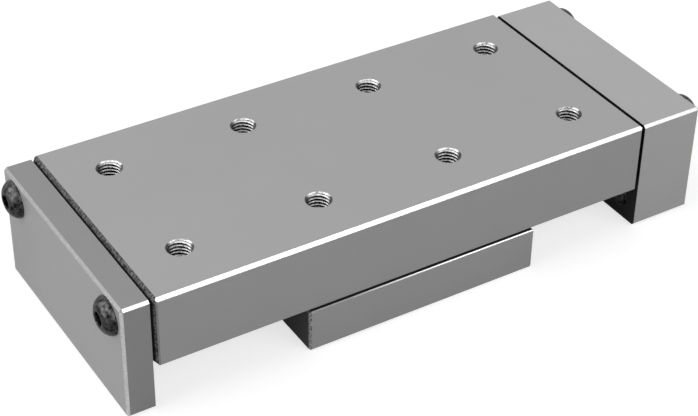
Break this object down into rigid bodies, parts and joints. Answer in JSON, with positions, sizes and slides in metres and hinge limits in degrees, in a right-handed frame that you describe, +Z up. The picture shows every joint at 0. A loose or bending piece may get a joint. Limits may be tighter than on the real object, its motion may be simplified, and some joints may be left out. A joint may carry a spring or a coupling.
{
  "type": "dovetail slide",
  "caption": "Hand-moved dovetail slide: a long drilled table with end plates runs on a short gibbed saddle and can be locked.",
  "frame": {"origin": "centre of the saddle's underside, in the middle of its four tapped mounting holes", "axes": "+X along the travel towards the thick end block, +Y to the back where the gib screws and the lock are, +Z up, out of the table's top"},
  "size_m": [0.1166, 0.0499, 0.022],
  "materials": {
    "satin_aluminium": "fine-ground, satin",
    "ground_steel": "ground bright",
    "black_screw": "black oxide, slightly oily sheen",
    "bronze": "scraped, satin",
    "brass": "turned, satin",
    "liner": "filled low-friction plastic, matte",
    "urethane": "soft, matte"
  },
  "bodies": {
    "saddle": {"saddle_block": "satin_aluminium", "flank_liner": "liner", "floor_liner_front": "liner", "floor_liner_back": "liner", "gib": "bronze", "gib_screw_left": "black_screw", "gib_screw_right": "black_screw", "gib_nut_left": "black_screw", "gib_nut_right": "black_screw"},
    "table": {"table_plate": "satin_aluminium", "dovetail_way": "ground_steel", "left_end_plate": "satin_aluminium", "right_end_block": "satin_aluminium", "way_screw_1": "black_screw", "way_screw_2": "black_screw", "way_screw_3": "black_screw", "way_screw_4": "black_screw", "left_end_screw_front": "black_screw", "left_end_screw_back": "black_screw", "right_end_screw_front": "black_screw", "right_end_screw_back": "black_screw", "left_dowel_front": "ground_steel", "left_dowel_back": "ground_steel", "right_dowel_front": "ground_steel", "right_dowel_back": "ground_steel", "bumper_front": "urethane", "bumper_back": "urethane", "stop_screw_front": "black_screw", "stop_screw_back": "black_screw", "stop_tip_front": "urethane", "stop_tip_back": "urethane"},
    "lock_plug": {"lock_plug": "brass"},
    "lock_screw": {"lock_screw": "black_screw"}
  },
  "joints": [
    {"name": "table_slide", "type": "slide", "parent": "saddle", "child": "table", "axis": [1, 0, 0], "range_m": [-0.02245, 0.02765]},
    {"name": "lock_advance", "type": "slide", "parent": "saddle", "child": "lock_plug", "axis": [0, -1, 0], "range_m": [0, 0.00026458]},
    {"name": "lock_turn", "type": "hinge", "parent": "lock_plug", "child": "lock_screw", "pos_m": [0, 0.02385, 0.0049], "axis": [0, -1, 0], "range_deg": [0, 120]}
  ],
  "couplings": [
    {"joint": "lock_turn", "follows": "lock_advance", "rad_per_m": 7915.8}
  ]
}
